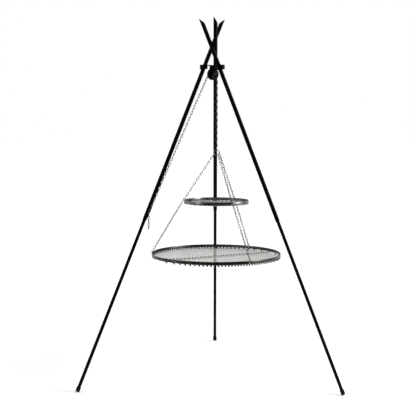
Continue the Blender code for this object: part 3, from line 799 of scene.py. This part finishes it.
def add_camera():
    data = bpy.data.cameras.new("camera")
    data.lens = CAMERA_LENS
    data.sensor_width = CAMERA_SENSOR
    data.clip_end = CAMERA_REACH
    camera = bpy.data.objects.new("camera", data)
    bpy.context.scene.collection.objects.link(camera)
    turn = Matrix.Rotation(CAMERA_HEADING, 4, "Z") @ Matrix.Rotation(math.pi / 2 + CAMERA_PITCH, 4, "X")
    camera.matrix_world = Matrix.Translation(CAMERA_PLACE) @ turn @ Matrix.Rotation(CAMERA_ROLL, 4, "Z")
    bpy.context.scene.camera = camera


def toward_front(nodes, links, place, near, far):
    """Nought up to a distance towards the front, rising to one at another."""
    along = nodes.new("ShaderNodeVectorMath")
    along.operation = "DOT_PRODUCT"
    along.inputs[1].default_value = FRONT
    links.new(place, along.inputs[0])
    rise = add_rise(nodes, links, along.outputs["Value"], near, far)
    rise.interpolation_type = "SMOOTHSTEP"
    return rise.outputs["Result"]


def blend(nodes, links, factor, low, high):
    """A number between two, each a socket or a value."""
    mix = nodes.new("ShaderNodeMix")
    links.new(factor, mix.inputs["Factor"])
    for socket, value in (("A", low), ("B", high)):
        if isinstance(value, float):
            mix.inputs[socket].default_value = value
        else:
            links.new(value, mix.inputs[socket])
    return mix.outputs["Result"]


def add_floor():
    bm = bmesh.new()
    bmesh.ops.create_circle(bm, cap_ends=True, radius=FLOOR_R, segments=96)
    data = bpy.data.meshes.new("floor")
    bm.to_mesh(data)
    bm.free()
    floor = bpy.data.objects.new("floor", data)
    bpy.context.scene.collection.objects.link(floor)
    material = bpy.data.materials.new("floor")
    material.use_nodes = True
    nodes, links = material.node_tree.nodes, material.node_tree.links
    shader = nodes["Principled BSDF"]
    shader.inputs["Roughness"].default_value = 1.0
    shader.inputs["Specular IOR Level"].default_value = 0.0
    shader.inputs["Emission Color"].default_value = (1.0, 1.0, 1.0, 1.0)
    path = nodes.new("ShaderNodeLightPath")
    place = nodes.new("ShaderNodeNewGeometry").outputs["Position"]
    length = nodes.new("ShaderNodeVectorMath")
    length.operation = "LENGTH"
    links.new(place, length.inputs[0])
    far = add_rise(nodes, links, length.outputs["Value"], *FAR_FLOOR)
    lift = blend(nodes, links, far.outputs["Result"], FLOOR_LIFT, FAR_LIFT)
    lift = blend(nodes, links, path.outputs["Is Camera Ray"], 0.0, lift)
    links.new(lift, shader.inputs["Emission Strength"])
    ahead = toward_front(nodes, links, place, *FRONT_FLOOR)
    dimmed = blend(nodes, links, path.outputs["Is Glossy Ray"], 0.0, ahead)
    links.new(blend(nodes, links, dimmed, FLOOR_TONE, FRONT_LIGHT), shader.inputs["Base Color"])
    data.materials.append(material)


def add_light():
    world = bpy.data.worlds.new("world")
    world.use_nodes = True
    nodes, links = world.node_tree.nodes, world.node_tree.links
    background = nodes["Background"]
    background.inputs["Color"].default_value = (1.0, 1.0, 1.0, 1.0)
    direction = nodes.new("ShaderNodeTexCoord").outputs["Generated"]
    ahead = toward_front(nodes, links, direction, *FRONT_WORLD)
    light = blend(nodes, links, ahead, WORLD_LIGHT, FRONT_LIGHT)
    path = nodes.new("ShaderNodeLightPath")
    links.new(blend(nodes, links, path.outputs["Is Camera Ray"], light, 1.0), background.inputs["Strength"])
    bpy.context.scene.world = world

    data = bpy.data.lights.new("sun", "SUN")
    data.energy = SUN_STRENGTH
    data.angle = SUN_SIZE
    sun = bpy.data.objects.new("sun", data)
    bpy.context.scene.collection.objects.link(sun)
    sun.rotation_euler = (-Vector(SUN_FROM)).to_track_quat("-Z", "Y").to_euler()

    for name, place, size, energy in SOFT_BOXES:
        data = bpy.data.lights.new(name, "AREA")
        data.shape = "RECTANGLE"
        data.size, data.size_y = size
        data.energy = energy
        soft_box = bpy.data.objects.new(name, data)
        bpy.context.scene.collection.objects.link(soft_box)
        soft_box.location = place
        toward = Vector(SOFT_BOX_AIM) - soft_box.location
        soft_box.rotation_euler = toward.to_track_quat("-Z", "Y").to_euler()


for finish_name, finish_nodes in FINISHES.items():
    materials[finish_name] = make_material(finish_name, **finish_nodes)
add_rings()
add_hanging_chains()
add_lifting_chain()
add_hook()
for grate_name in GRATES:
    add_rim(grate_name)
    add_rods(grate_name)
    add_bar(grate_name)
    add_welds_and_shade(grate_name)
finish_cad_nodes()
add_camera()
add_floor()
add_light()
bpy.context.scene.view_settings.view_transform = "Standard"
